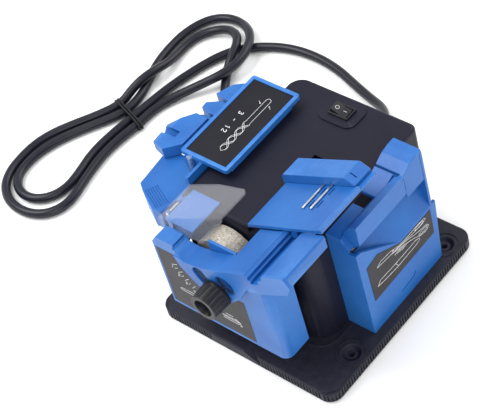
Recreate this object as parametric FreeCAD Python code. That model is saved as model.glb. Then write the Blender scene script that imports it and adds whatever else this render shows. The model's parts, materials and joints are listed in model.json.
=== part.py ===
import FreeCAD, Part
import math
import os
from FreeCAD import Vector as V

os.makedirs("parts", exist_ok=True)

# Bench-top multi-purpose sharpener for drill bits, chisels, knives and scissors.
# Millimetres, +Z up, +X to the right of the front edge, +Y to the back.
# The origin is the centre of the footprint, on the surface that the feet stand on.

# Base
BASE_HALF_X = 95.0
BASE_HALF_Y = 99.7
BASE_BOTTOM = 2.0
BASE_TOP = 12.4
BASE_CORNER = 12.0
BASE_WALL = 3.0
NOTCH_RIGHT = 17.0
NOTCH_DEPTH = 9.5
RIB_PITCH = 3.2
RIB_GAP = 1.5
RIB_DEPTH = 0.9
COVER_TOP = 4.0
FOOT_RADIUS = 8.0
FEET = [(-74, -84), (74, -84), (-74, 90), (74, 90), (0, 0)]
BOLT_X = 80.5
BOLT_FRONT = -54.5
BOLT_BACK = 77.0
BOLT_HOLE = 2.6

# Motor housing
HOUSE_X = (-69.0, 58.5)
HOUSE_Y = (-58.0, 97.0)
HOUSE_TOP = 130.0
WALL = 3.0
RELIEF_X = 3.0
RELIEF_Y = 30.0
RELIEF_TOP = 124.0

# Motor and grinding wheel, on one shaft along Y
SHAFT_X = -17.4
SHAFT_Z = 95.0
SHAFT_R = 4.0
SHAFT_Y = (-84.6, 60.0)
RUNNING_GAP = 0.05
WHEEL_R = 25.0
WHEEL_Y = (-79.5, -59.5)
CAN_R = 24.0
CAN_Y = (-38.0, 38.0)

# Knife and scissor box, with its own belt-driven spindle
BOX_X = (58.5, 86.0)
BOX_Y = (-28.8, 66.0)
BOX_WALL = 2.5
SPINDLE_X = 67.0
SPINDLE_Z = 91.0
SPINDLE_R = 3.0
DRUM_R = 8.2
PULLEY_R = 6.4
BELT_Y = (51.5, 59.5)
BELT_THICK = 1.4
BELT_GAP = 0.35

# Front bracket and the tilting cradle on it
BRACKET_Y = (-103.0, -76.0)
BRACKET_BOTTOM = 43.0
BRACKET_TOP = 129.0
TOWER_RIGHT = -39.0
LEDGE_Z = 112.0
PIVOT_X = 15.0
PIVOT_Z = 132.0
TILT_RISE = 0.4727
DECK_Z0 = 128.6
FLANGE_Y = (-108.5, -105.5)
DECK_BACK = -59.0
SLOT_R = 27.5
SLOT_HALF = 6.5
SLOT_START = 209.0
SLOT_END = 262.0
KEYHOLE = (17.9, 118.9)
KEYHOLE_R = 10.2
KNOB_ANGLE = 254.3

# Sliding carriage on the cradle
PLATE_GAP = 0.3
PLATE_TOP = 4.0
PLATE_X = (4.8, 88.0)
PLATE_Y = (-58.6, -8.7)
BLOCK_Y = (-8.7, 12.0)
BLOCK_TOP = 12.5

# Spark guard
GUARD_HINGE_X = -66.8
GUARD_HINGE_Z = 126.5
GUARD_PIN_R = 1.2
BARREL_R = 2.4
GUARD_LEFT = -68.0
GUARD_RIGHT = 12.5
GUARD_SLOPE = 28.6
GUARD_EDGE_X = -63.6
GUARD_EDGE_Z = 131.8

# Rocker switch
SWITCH_X = -5.5
SWITCH_Y = 78.5
PAD_X = (SWITCH_X - 19.0, SWITCH_X + 19.0)
PAD_Y = (SWITCH_Y - 14.0, SWITCH_Y + 14.0)
ROCKER_PIVOT_Z = 129.8

# Drill station on the left
STATION_X = (-93.0, -42.0)
STATION_Y = (-27.0, 71.0)
STATION_TOP = 141.0
STATION_DECK = 137.0
ARM_X = -84.0
ARM_Y = -26.0
ARM_PIN_R = 3.0
GRIP_COUNT = 6
GRIP_TURN = -25.3

# Mains cord
CORD_R = 4.5
GLAND_X = -40.0
GLAND_Z = 24.0
GLAND_END = 123.0
LEAD_ROUTE = [(-40, 123, 24), (-40, 146, 24), (-47, 167, 19.5), (-62.5, 183, 12), (-84, 191.5, 6.2),
              (-108, 199.5, 4.8), (-139, 210, 4.8), (-172, 214, 4.8), (-203, 210, 4.8), (-231, 197, 4.8)]
TAIL_ROUTE = [(-232, 158, 4.8), (-222, 139, 4.8), (-209, 122, 4.8), (-194, 107, 4.8), (-177, 95, 4.8)]
HANK_OUTLINE = [(-288, 220.5), (-263, 221.5), (-238, 209), (-224, 190), (-218, 165), (-222, 141),
                (-239, 120), (-257, 98), (-262, 60), (-267, 18), (-260, -22), (-251, -46), (-251, -66),
                (-264, -80), (-288, -83), (-311, -79.5), (-332, -66), (-344, -44), (-346, -15), (-340, 9),
                (-329, 31), (-315, 52), (-304, 76), (-309, 117), (-314, 152), (-314, 183), (-304, 208)]
HANK_HEIGHT = 19.2
HANK_FLOOR = 0.2


def box(x, y, z):
    return Part.makeBox(x[1] - x[0], y[1] - y[0], z[1] - z[0], V(x[0], y[0], z[0]))


def rod(axis, a, b, radius, start, end):
    """A cylinder along X, Y or Z; a and b are its two other coordinates in order."""
    place = {"x": V(start, a, b), "y": V(a, start, b), "z": V(a, b, start)}[axis]
    way = {"x": V(1, 0, 0), "y": V(0, 1, 0), "z": V(0, 0, 1)}[axis]
    return Part.makeCylinder(radius, end - start, place, way)


def ring(axis, a, b, outer, inner, start, end):
    return rod(axis, a, b, outer, start, end).cut(rod(axis, a, b, inner, start - 1, end + 1))


def prism(plane, points, start, end):
    """A polygon drawn in the xy, xz or yz plane, pushed along the third axis."""
    if plane == "xy":
        corners = [V(p, q, start) for p, q in points]
        push = V(0, 0, end - start)
    elif plane == "xz":
        corners = [V(p, start, q) for p, q in points]
        push = V(0, end - start, 0)
    else:
        corners = [V(start, p, q) for p, q in points]
        push = V(end - start, 0, 0)
    return Part.Face(Part.makePolygon(corners + corners[:1])).extrude(push)


def fuse(*shapes):
    return shapes[0].multiFuse(list(shapes[1:])).removeSplitter()


def edges_where(shape, test):
    found = []
    for edge in shape.Edges:
        ends = [v.Point for v in edge.Vertexes]
        if len(ends) == 2 and test(ends[0], ends[1]):
            found.append(edge)
    return found


def is_upright(a, b):
    return abs(a.x - b.x) < 0.01 and abs(a.y - b.y) < 0.01


def round_corner(shape, x, y, radius):
    """Round the upright edge that stands at x, y."""
    near = edges_where(shape, lambda a, b: is_upright(a, b) and abs(a.x - x) < 0.1 and abs(a.y - y) < 0.1)
    return shape.makeFillet(radius, near)


def tilted(x, rise):
    """The point above the cradle's sloping deck at x, by rise measured square to the deck."""
    square = math.sqrt(1 + TILT_RISE ** 2)
    return (x, DECK_Z0 + TILT_RISE * x + rise * square)


def save(name, shape):
    if len(shape.Solids) == 1:
        shape = shape.Solids[0]
    if not shape.isValid():
        print("not valid:", name)
    shape.exportStep("parts/" + name + ".step")


# ---------------------------------------------------------------- base

def rounded_plate(half_x, half_y, corner, bottom, top):
    plate = box((-half_x, half_x), (-half_y, half_y), (bottom, top))
    return plate.makeFillet(corner, edges_where(plate, is_upright))


def bolt_places():
    return [(sx * BOLT_X, y) for sx in (-1, 1) for y in (BOLT_FRONT, BOLT_BACK)]


def rib_gaps():
    """Upright grooves that leave ribs round the rim, except on the smooth middle of the front."""
    gaps = []
    tall = (BASE_BOTTOM + 1.2, BASE_TOP - 1.4)
    side = BASE_HALF_X - BASE_CORNER
    end = BASE_HALF_Y - BASE_CORNER
    steps = int(2 * end / RIB_PITCH)
    for i in range(steps + 1):
        y = -end + i * RIB_PITCH
        for edge in (-BASE_HALF_X, BASE_HALF_X):
            x = (edge - RIB_DEPTH, edge + RIB_DEPTH)
            gaps.append(box(x, (y, y + RIB_GAP), tall))
    for i in range(int(2 * side / RIB_PITCH) + 1):
        x = -side + i * RIB_PITCH
        if x < -36 or x > 13:
            y = (-BASE_HALF_Y - RIB_DEPTH, -BASE_HALF_Y + RIB_DEPTH)
            gaps.append(box((x, x + RIB_GAP), y, tall))
    for sx in (-1, 1):
        for degrees in (15, 30, 45, 60, 75):
            angle = math.radians(degrees)
            slot = box((BASE_CORNER - RIB_DEPTH, BASE_CORNER + RIB_DEPTH), (-RIB_GAP / 2, RIB_GAP / 2), tall)
            slot.rotate(V(0, 0, 0), V(0, 0, 1), -math.degrees(angle) if sx > 0 else 180 + degrees)
            slot.translate(V(sx * side, -end, 0))
            gaps.append(slot)
    return gaps


def edge_notch():
    """A three-cornered nick in the front edge of the base, at the right end of its smooth middle."""
    front = -BASE_HALF_Y
    corners = [V(-0.5, front - 0.2, BASE_TOP + 0.2), V(1.7, front + NOTCH_DEPTH, BASE_TOP + 0.2),
               V(NOTCH_RIGHT, front - 0.2, 4.0), V(NOTCH_RIGHT + 1.0, front - 0.2, BASE_TOP + 0.2)]
    sides = []
    for a, b, c in ((0, 1, 2), (0, 1, 3), (0, 2, 3), (1, 2, 3)):
        sides.append(Part.Face(Part.makePolygon([corners[a], corners[b], corners[c], corners[a]])))
    return Part.makeSolid(Part.makeShell(sides))


def base_plate():
    plate = rounded_plate(BASE_HALF_X, BASE_HALF_Y, BASE_CORNER, BASE_BOTTOM, BASE_TOP)
    rim = [e for e in plate.Edges if e.BoundBox.ZMin > BASE_TOP - 0.01]
    plate = plate.makeFillet(1.6, rim)
    hollow = rounded_plate(BASE_HALF_X - BASE_WALL, BASE_HALF_Y - BASE_WALL, BASE_CORNER - BASE_WALL,
                           BASE_BOTTOM, BASE_TOP - BASE_WALL)
    bosses = [rod("z", x, y, 9.0, BASE_BOTTOM, BASE_TOP - BASE_WALL) for x, y in bolt_places()]
    backing = box((-6, NOTCH_RIGHT + 5), (-BASE_HALF_Y + 1, -BASE_HALF_Y + NOTCH_DEPTH + 3),
                  (BASE_BOTTOM + 2.0, BASE_TOP - 1))
    plate = plate.cut(hollow).multiFuse(bosses + [backing])
    ridges = [ring("z", x, y, 13.5, 12.0, BASE_TOP - 0.5, BASE_TOP + 0.7) for x, y in bolt_places()]
    ridges = [r.common(box((-92, 92), (-96, 96), (0, 20))) for r in ridges]
    taken = housing_block(0, 0, 50).fuse(box((BOX_X[0], BOX_X[1] + 0.3), (BOX_Y[0], BOX_Y[1] + 5), (0, 50)))
    ridges = [r.cut(taken) for r in ridges]
    foot = box((-73, 64), (-66.5, 99), (BASE_TOP - 0.5, BASE_TOP + 1.2))
    foot = round_corner(foot, 64, -66.5, 20)
    inner = box((-71, 62.4), (-65, 97), (BASE_TOP - 1, BASE_TOP + 2))
    inner = round_corner(inner, 62.4, -65, 18.5)
    foot = foot.cut(inner).common(box((36, 70), (-70, -31), (0, 20))).cut(taken)
    plate = plate.multiFuse(ridges + [foot])
    cuts = rib_gaps() + [edge_notch()]
    for x, y in bolt_places():
        cuts.append(rod("z", x, y, BOLT_HOLE, BASE_BOTTOM - 1, BASE_TOP + 1))
        cuts.append(Part.makeCone(5.0, 9.0, 2.6, V(x, y, BASE_TOP - 2.5)))
    return plate.cut(Part.makeCompound(cuts))


def bottom_cover():
    cover = rounded_plate(BASE_HALF_X - BASE_WALL - 0.2, BASE_HALF_Y - BASE_WALL - 0.2,
                          BASE_CORNER - BASE_WALL, BASE_BOTTOM, COVER_TOP)
    return cover.cut(Part.makeCompound([rod("z", x, y, 9.3, 0, 9) for x, y in bolt_places()]))


def rubber_feet():
    feet = [Part.makeCone(FOOT_RADIUS - 1, FOOT_RADIUS, BASE_BOTTOM, V(x, y, 0)) for x, y in FEET]
    return Part.makeCompound(feet)


# ---------------------------------------------------------------- housing

def housing_block(inset, bottom, top):
    x = (HOUSE_X[0] + inset, HOUSE_X[1] - inset)
    y = (HOUSE_Y[0] + inset, HOUSE_Y[1] - inset)
    block = box(x, y, (bottom, top))
    block = round_corner(block, x[1], y[0], 18 - inset)
    block = round_corner(block, x[0], y[1], 14 - inset)
    block = round_corner(block, x[0], y[0], 7 - inset)
    return round_corner(block, x[1], y[1], 7 - inset)


def motor_housing():
    shell = housing_block(0, BASE_TOP, HOUSE_TOP)
    rim = [e for e in shell.Edges if e.BoundBox.ZMin > HOUSE_TOP - 0.01]
    shell = shell.makeFillet(3.5, rim)
    pad = box(PAD_X, PAD_Y, (HOUSE_TOP - 1, HOUSE_TOP + 1.2))
    pad = pad.makeFillet(9, edges_where(pad, is_upright))
    shell = shell.fuse(pad)
    room = housing_block(WALL, BASE_TOP - 1, HOUSE_TOP - WALL)
    keep = box((RELIEF_X - WALL, 70), (-70, RELIEF_Y + WALL), (RELIEF_TOP - WALL, HOUSE_TOP))
    relief = box((RELIEF_X, 70), (-70, RELIEF_Y), (RELIEF_TOP, HOUSE_TOP + 5))
    shell = shell.cut(room.cut(keep)).cut(relief)
    openings = [
        box((SWITCH_X - 9.2, SWITCH_X + 9.2), (SWITCH_Y - 5.7, SWITCH_Y + 5.7), (120, 140)),
        rod("y", SHAFT_X, SHAFT_Z, 9.0, -60, -50),
        rod("y", GLAND_X, GLAND_Z, 5.5, 90, 100),
        box((50, 62), (BELT_Y[0] - 3, BELT_Y[1] + 3), (72, 108)),
    ]
    for i in range(7):
        openings.append(box((-72, -60), (66, 88), (30 + 8 * i, 33.5 + 8 * i)))
    return shell.cut(Part.makeCompound(openings))


def front_pedestal():
    """The black well round the grinding wheel, standing on the base."""
    block = box((-50, 34), (-76, -58), (BASE_TOP, BRACKET_TOP - 3))
    well = box((-46, 30), (-90, -50), (66, 140))
    hollow = box((-46, 30), (-72, -50), (BASE_TOP - 1, 62))
    return block.cut(well).cut(hollow)


# ---------------------------------------------------------------- motor

def motor_can():
    tube = ring("y", SHAFT_X, SHAFT_Z, CAN_R, CAN_R - 2, CAN_Y[0], CAN_Y[1])
    vents = []
    for degrees in range(0, 360, 45):
        vent = box((CAN_R - 4, CAN_R + 2), (22, 32), (-3, 3))
        vent.rotate(V(0, 0, 0), V(0, 1, 0), degrees + 22.5)
        vent.translate(V(SHAFT_X, 0, SHAFT_Z))
        vents.append(vent)
    return tube.cut(Part.makeCompound(vents))


def motor_end(y0, y1):
    """An end bell with a bearing seat."""
    disc = ring("y", SHAFT_X, SHAFT_Z, CAN_R, SHAFT_R + 1.5, y0, y1)
    return disc


def motor_magnets():
    shell = ring("y", SHAFT_X, SHAFT_Z, CAN_R - 2.05, 20.9, -28, 18)
    split = box((SHAFT_X - 6, SHAFT_X + 6), (-40, 40), (60, 130))
    return shell.cut(split)


def motor_saddle():
    block = box((-50, 15.5), (-30, 30), (BASE_TOP, SHAFT_Z - 6))
    block = block.cut(rod("y", SHAFT_X, SHAFT_Z, CAN_R + 0.05, -40, 40))
    hollow = box((-41, 6), (-40, 40), (BASE_TOP - 1, SHAFT_Z - CAN_R - 5))
    return block.cut(hollow)


def motor_strap():
    """A steel band over the motor, with a foot each side screwed to the saddle."""
    band = ring("y", SHAFT_X, SHAFT_Z, CAN_R + 1.2, CAN_R + 0.1, -8, 8)
    band = band.common(box((-60, 40), (-20, 20), (SHAFT_Z - 6, 140)))
    left = box((-50, -40.5), (-8, 8), (SHAFT_Z - 6, SHAFT_Z - 4.8))
    right = box((5.7, 15.5), (-8, 8), (SHAFT_Z - 6, SHAFT_Z - 4.8))
    return fuse(band, left, right).cut(rod("y", SHAFT_X, SHAFT_Z, CAN_R + 0.1, -20, 20))


def armature():
    core = rod("y", SHAFT_X, SHAFT_Z, 20.2, -26, 16)
    slots = []
    for degrees in range(0, 360, 30):
        slot = box((14, 22), (-30, 20), (-1.2, 1.2))
        slot.rotate(V(0, 0, 0), V(0, 1, 0), degrees)
        slot.translate(V(SHAFT_X, 0, SHAFT_Z))
        slots.append(slot)
    core = core.cut(Part.makeCompound(slots))
    return core.cut(rod("y", SHAFT_X, SHAFT_Z, SHAFT_R, -40, 40))


def cooling_fan():
    hub = rod("y", SHAFT_X, SHAFT_Z, 7, 46, 50)
    blades = []
    for degrees in range(0, 360, 45):
        blade = box((5, 20), (46, 50), (-0.8, 0.8))
        blade.rotate(V(0, 0, 0), V(0, 1, 0), degrees)
        blade.translate(V(SHAFT_X, 0, SHAFT_Z))
        blades.append(blade)
    return fuse(hub, *blades).cut(rod("y", SHAFT_X, SHAFT_Z, SHAFT_R, 40, 60))


def wheel_nut():
    points = []
    for i in range(6):
        angle = math.radians(60 * i)
        points.append((SHAFT_X + 7 * math.cos(angle), SHAFT_Z + 7 * math.sin(angle)))
    nut = prism("xz", points, -84.2, -81.5)
    return nut.cut(rod("y", SHAFT_X, SHAFT_Z, SHAFT_R, -90, -70))


def pulley(x, z, bore):
    flange = 1.0
    body = rod("y", x, z, PULLEY_R, BELT_Y[0] - 0.5, BELT_Y[1] + 0.5)
    cheek = rod("y", x, z, PULLEY_R + 1.7, BELT_Y[0] - 0.5 - flange, BELT_Y[0] - 0.5)
    return fuse(body, cheek).cut(rod("y", x, z, bore, 40, 70))


def drive_belt():
    """A belt loop round the two pulleys, a running gap off each."""
    def loop(radius):
        reach = math.hypot(SPINDLE_X - SHAFT_X, SPINDLE_Z - SHAFT_Z)
        bar = box((0, reach), BELT_Y, (-radius, radius))
        ends = [rod("y", 0, 0, radius, BELT_Y[0], BELT_Y[1]), rod("y", reach, 0, radius, BELT_Y[0], BELT_Y[1])]
        shape = bar.multiFuse(ends).removeSplitter()
        shape.rotate(V(0, 0, 0), V(0, 1, 0), math.degrees(math.atan2(SHAFT_Z - SPINDLE_Z, SPINDLE_X - SHAFT_X)))
        shape.translate(V(SHAFT_X, 0, SHAFT_Z))
        return shape
    return loop(PULLEY_R + BELT_GAP + BELT_THICK).cut(loop(PULLEY_R + BELT_GAP))


# ---------------------------------------------------------------- knife and scissor box

def knife_box():
    x0, x1 = BOX_X
    y0, y1 = BOX_Y
    inner = x1 - BOX_WALL
    outer_wall = prism("yz", [(y0, BASE_TOP), (y1, BASE_TOP), (y1 + 4.5, 79), (21, 77.5), (y0 + 6, 110),
                              (y0, 111)], inner, x1)
    front_wall = prism("xz", [(x0, BASE_TOP), (x1, BASE_TOP), (x1, 111), (78, 110), (73, 124), (61, 124),
                              (x0, 120)], y0, y0 + BOX_WALL)
    back_wall = prism("xz", [(x0, BASE_TOP), (x1, BASE_TOP), (x1, 141), (x0, 141)], y1 - BOX_WALL, y1)
    floor = box((x0, x1), (y0, y1), (BASE_TOP, BASE_TOP + 2.5))
    rest_face = prism("xz", [(x1, 76), (x1, 78.5), (75, 101.5), (73.2, 100.3), (84, 75)], y0, y1)
    ridge = prism("xz", [(68, 122), (78.5, 135.5), (x1, 138), (x1, 117.5), (80, 112.5), (75, 108.5), (72, 111),
                         (68, 119)], y0 + 6.5, 40)
    valley = box((x0, 72), (y0, 7), (121.5, 124))
    ridge_foot = prism("xz", [(x0, 121.5), (x0, 124), (70, 124), (80, 114), (78, 111)], y0, y0 + 7)
    body = fuse(outer_wall, front_wall, back_wall, floor, rest_face, ridge, valley, ridge_foot)
    pull_mark = prism("yz", [(11, 22.8), (29.5, 25.2), (32.2, 29.5), (31, 30.0), (28.8, 26.6), (11, 24.4)],
                      x1 - 0.8, x1 + 1)
    return body.cut(scissor_table()).cut(pull_mark)


def scissor_table():
    x0, x1 = BOX_X
    y1 = BOX_Y[1]
    top = [(y1, 144.4), (58, 144.4), (50, 142.8), (38.5, 136.4)]
    under = [(38.5, 133.2), (50, 139.6), (58, 141.2), (y1, 141.2)]
    back_part = prism("yz", top + under, x0, x1)
    ramp = prism("yz", [(38.5, 136.4), (17.7, 128.5), (17.7, 125.3), (38.5, 133.2)], x0, 77)
    cheek = prism("yz", [(y1 - 2.7, 141.5), (58, 141.5), (50, 139.9), (40.3, 134.5), (40.3, 112),
                         (y1 - 2.7, 112)], x1 - 2.5, x1)
    slit = box((x0 - 1, 82), (39.6, 40.8), (125, 150))
    return fuse(back_part, ramp, cheek).cut(slit)


def honing_drum():
    return ring("y", SPINDLE_X, SPINDLE_Z, DRUM_R, SPINDLE_R, -18, 46)


def spindle_bearings():
    rings = []
    for start, end in ((-26.3, -21.3), (61.2, 63.5)):
        rings.append(ring("y", SPINDLE_X, SPINDLE_Z, 7, SPINDLE_R + RUNNING_GAP, start, end))
    return Part.makeCompound(rings)


# ---------------------------------------------------------------- front bracket

BRACKET_OUTLINE = [(-64, BRACKET_BOTTOM), (60, BRACKET_BOTTOM), (60, BRACKET_TOP), (19.2, 126.3), (10, 124.8),
                   (-5, 118.2), (-31.5, LEDGE_Z), (TOWER_RIGHT, LEDGE_Z), (TOWER_RIGHT, BRACKET_TOP),
                   (-58, BRACKET_TOP), (-64, 121)]
BRACKET_ROOM = [(-61, BRACKET_BOTTOM + 3), (57, BRACKET_BOTTOM + 3), (57, BRACKET_TOP - 3), (19.2, 123.3),
                (10, 121.8), (-5, 115.2), (-31.5, LEDGE_Z - 3), (TOWER_RIGHT - 3, LEDGE_Z - 3),
                (TOWER_RIGHT - 3, BRACKET_TOP - 3), (-61, 118)]


def knob_place():
    angle = math.radians(KNOB_ANGLE)
    return (PIVOT_X + SLOT_R * math.cos(angle), PIVOT_Z + SLOT_R * math.sin(angle))


def front_bracket():
    front, back = BRACKET_Y
    body = prism("xz", BRACKET_OUTLINE, front, back)
    body = round_corner(body, 60, front, 8)
    body = body.cut(prism("xz", BRACKET_ROOM, front + 3, back + 1))
    body = body.cut(box((-70, 19), (-89, back + 1), (104, 140)))
    block_back = box((-64, -31.5), (-92, -89), (60, LEDGE_Z))
    tower_back = box((-64, TOWER_RIGHT), (-92, -89), (LEDGE_Z - 1, 118))
    lip = box((-11, 18), (-89, -86.6), (108, 137))
    lip = lip.fuse(box((-18, 30), (-92, -86.6), (104, 110)))
    cx, cz = knob_place()
    boss = rod("y", cx, cz, 8, -100.5, -90)
    body = fuse(body, block_back, tower_back, lip, boss)
    window = prism("xz", [(-61.8, 46), (28, 46), (28, 98), (17, 98), (-31, 108), (-33, 116), (-61.8, 116)],
                   front - 1, front + 0.6)
    holes = [rod("y", cx, cz, 3.1, -110, -80), rod("y", PIVOT_X, PIVOT_Z, 1.5, -89.2, -86.4),
             rod("y", KEYHOLE[0], KEYHOLE[1], KEYHOLE_R, front - 1, front + 3.1)]
    return body.cut(window).cut(Part.makeCompound(holes))


def front_label():
    cx, cz = knob_place()
    outline = [(-61.6, 46.2), (27.8, 46.2), (27.8, 97.8), (17, 97.8), (-31.1, 107.7), (-33.2, 115.8),
               (-61.6, 115.8)]
    plate = prism("xz", outline, BRACKET_Y[0], BRACKET_Y[0] + 0.55)
    return plate.cut(rod("y", cx, cz, 8, -110, -90))


# ---------------------------------------------------------------- cradle

FLANGE_OUTLINE = [(-34.7, 124.9), (-28.9, 125.7), (-22, 123.7), (-4.8, 128), (10.6, 133.7), (51.8, 153.1),
                  (89.7, 171.8), (95.5, 163.8), (91.2, 153.9), (61.1, 135.8), (47.7, 131.1), (43.5, 130.2),
                  (37.8, 121), (32, 111), (26.3, 105.4), (19.7, 99.5), (12, 95), (2, 93.5), (-7, 95.5),
                  (-14.5, 99), (-22.4, 105.8), (-30.3, 115)]


def arc_slot():
    slot = ring("y", PIVOT_X, PIVOT_Z, SLOT_R + SLOT_HALF, SLOT_R - SLOT_HALF, -112, -100)
    wedge = [(PIVOT_X, PIVOT_Z)]
    steps = 6
    for i in range(steps + 1):
        angle = math.radians(SLOT_START + (SLOT_END - SLOT_START) * i / steps)
        wedge.append((PIVOT_X + 60 * math.cos(angle), PIVOT_Z + 60 * math.sin(angle)))
    slot = slot.common(prism("xz", wedge, -112, -100))
    for degrees in (SLOT_START, SLOT_END):
        angle = math.radians(degrees)
        end = rod("y", PIVOT_X + SLOT_R * math.cos(angle), PIVOT_Z + SLOT_R * math.sin(angle), SLOT_HALF,
                  -112, -100)
        slot = slot.fuse(end)
    return slot.fuse(rod("y", KEYHOLE[0], KEYHOLE[1], KEYHOLE_R, -112, -100))


def groove_profile():
    return [tilted(46.5, 8), tilted(46.5, -0.2), tilted(49.5, -2.5), tilted(49.5, -5), tilted(52, -6),
            tilted(52, -9), tilted(60.5, -9), tilted(60.5, -5.5), tilted(66, -3), tilted(66, 8)]


def tilt_cradle():
    back = DECK_BACK
    flange = prism("xz", FLANGE_OUTLINE, FLANGE_Y[0], FLANGE_Y[1]).cut(arc_slot())
    band_top = [(-37.2, 129.5), (-36.0, 127.0), (-33.5, 125.0), (-28.3, 123.8), (-22, 123.7), (-4.8, 127.8),
                (10.6, 133.7), tilted(19.5, 0)]
    band_under = [tilted(19.5, -3), (10.6, 130.4), (-4.8, 124.5), (-22, 120.4), (-31, 120.6), (-36.8, 123)]
    band = prism("xz", band_top + band_under, FLANGE_Y[1], -89.3)
    deck = prism("xz", [tilted(19.5, 0), tilted(90, 0), tilted(91.5, -2), tilted(91.5, -12), tilted(43, -12),
                        tilted(41, -5), tilted(19.5, -5)], FLANGE_Y[1], back)
    channel = prism("xz", [tilted(44, -0.3), tilted(68, -0.3), tilted(68, -12), tilted(43.5, -12)], back, -8)
    boss = rod("y", PIVOT_X, PIVOT_Z, 3.2, -105.5, -89.6)
    body = fuse(flange, band, deck, channel, boss)
    body = body.cut(prism("xz", groove_profile(), -120, 0))
    return body.cut(rod("y", PIVOT_X, PIVOT_Z, 1.55, -105.0, -80))


def pivot_pin():
    return rod("y", PIVOT_X, PIVOT_Z, 1.5, -104.5, -86.7)


def lock_knob():
    cx, cz = knob_place()
    knob = Part.makeCone(13.3, 12.2, 18.6, V(cx, -108.9, cz), V(0, -1, 0))
    flutes = []
    count = 16
    for i in range(count):
        angle = 2 * math.pi * i / count
        x = cx + 14.0 * math.cos(angle)
        z = cz + 14.0 * math.sin(angle)
        flutes.append(rod("y", x, z, 1.9, -130, -112))
    knob = knob.cut(Part.makeCompound(flutes))
    return knob.cut(rod("y", cx, cz, 8.6, -130, -113.5)).cut(rod("y", cx, cz, 3.0, -115, -100))


def knob_stud():
    cx, cz = knob_place()
    stud = rod("y", cx, cz, 3.0, -116, -91)
    head = rod("y", cx, cz, 5.5, -116.5, -113.5)
    return fuse(stud, head)


# ---------------------------------------------------------------- carriage

def carriage_plate():
    x0, x1 = PLATE_X
    plate = prism("xz", [tilted(x0, PLATE_GAP), tilted(x0, PLATE_TOP), tilted(x1, PLATE_TOP),
                         tilted(x1, PLATE_GAP)], PLATE_Y[0], PLATE_Y[1])
    rim = prism("xz", [tilted(x1 - 5, PLATE_TOP), tilted(x1 - 4, PLATE_TOP + 1.2), tilted(x1, PLATE_TOP + 1.2),
                       tilted(x1, PLATE_TOP)], PLATE_Y[0], PLATE_Y[1])
    tail = prism("xz", [tilted(x0, PLATE_GAP), tilted(x0, 2.2), tilted(x1, 2.2), tilted(x1, PLATE_GAP)],
                 PLATE_Y[1], BLOCK_Y[1])
    keel = prism("xz", [tilted(53, PLATE_GAP), tilted(59.5, PLATE_GAP), tilted(59.5, -8), tilted(53, -8)],
                 PLATE_Y[0] + 1, BLOCK_Y[1] - 1)
    slots = []
    for x in (50.0, 59.0):
        for start, end in ((-34, -26), (-19, -11)):
            slots.append(prism("xz", [tilted(x + 3, 1.5), tilted(x + 3, 9), tilted(x + 4.2, 9),
                                      tilted(x + 4.2, 1.5)], start, end))
    return fuse(plate, rim, tail, keel).cut(Part.makeCompound(slots))


def clamp_block():
    low = 2.3
    end_x = 82
    block = prism("xz", [tilted(2, low), tilted(2, BLOCK_TOP - 1.5), tilted(3.5, BLOCK_TOP),
                         tilted(end_x - 10, BLOCK_TOP), tilted(end_x, low + 2.5), tilted(end_x, low)],
                  BLOCK_Y[0] + 0.1, BLOCK_Y[1])
    catch = prism("xz", [tilted(end_x - 9, low + 3), tilted(end_x - 9, BLOCK_TOP + 2), tilted(end_x - 4, BLOCK_TOP),
                         tilted(end_x - 3, low + 3)], BLOCK_Y[0] + 7, BLOCK_Y[0] + 7.8)
    return block.cut(catch)


def guide_wires():
    """Two bright spring wires along the plate that steady the blade guide."""
    wires = []
    for x in (49.5, 58.5):
        px, pz = tilted(x, PLATE_TOP + 1.0)
        wires.append(rod("y", px, pz, 0.95, -37, PLATE_Y[1]))
    return Part.makeCompound(wires)


# ---------------------------------------------------------------- spark guard

def spark_guard():
    rise = math.tan(math.radians(GUARD_SLOPE))
    left, right = GUARD_LEFT, GUARD_RIGHT

    def line(x, lift):
        return (x, GUARD_EDGE_Z + rise * (x - GUARD_EDGE_X) + lift)
    plate = prism("xz", [line(left, 0), line(left, 2.2), line(right, 2.2), line(right, 0)], -88, -47)
    corner = [(20, -40), (20, -57), (right, -57), (8, -53), (-30, -47), (-60, -40)]
    plate = plate.cut(prism("xy", corner, 120, 200))
    cheek = prism("xz", [line(left, 0.5), line(right, 0.5), (right, 171), (-19, 128.7), (-62, 119.8),
                         (left, 122)], -88, -86.2)
    barrel = rod("y", GUARD_HINGE_X, GUARD_HINGE_Z, BARREL_R, -74.7, -64.3)
    web = box((GUARD_HINGE_X - 1, GUARD_HINGE_X + 1), (-74.7, -64.3), (GUARD_HINGE_Z, 130.4))
    tab = box((-24, -20), (-88.9, -88), (127.6, 131.4))
    guard = fuse(plate, cheek, barrel, web, tab)
    return guard.cut(rod("y", GUARD_HINGE_X, GUARD_HINGE_Z, GUARD_PIN_R + RUNNING_GAP, -80, -60))


def guard_bracket():
    """The hinge block of the guard, with a shelf that covers the gap beside the wheel."""
    block = box((-69, -64.2), (-79, -58.1), (108, 123.5))
    lugs = []
    for start, end in ((-78, -75), (-64, -61)):
        lugs.append(box((GUARD_HINGE_X - BARREL_R, GUARD_HINGE_X + BARREL_R), (start, end), (123, GUARD_HINGE_Z)))
        lugs.append(rod("y", GUARD_HINGE_X, GUARD_HINGE_Z, BARREL_R, start, end))
    web = box((-69, -60), (-61, -58.1), (108, 128))
    riser = box((-63, -60), (-61, -58.1), (127, 131))
    shelf = box((-61, -32), (-85.6, -50), (130.1, 131.8))
    leg = box((-50, -46), (-76, -58.1), (126, 130.5))
    tray = box((-64.5, -50.2), (-86, -58.1), (108.4, 110.4))
    tray = tray.fuse(box((-51, -46), (-86, -76.2), (108.4, 110.4)))
    body = fuse(block, web, riser, shelf, leg, tray, *lugs)
    return body.cut(rod("y", GUARD_HINGE_X, GUARD_HINGE_Z, GUARD_PIN_R, -90, -59))


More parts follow.
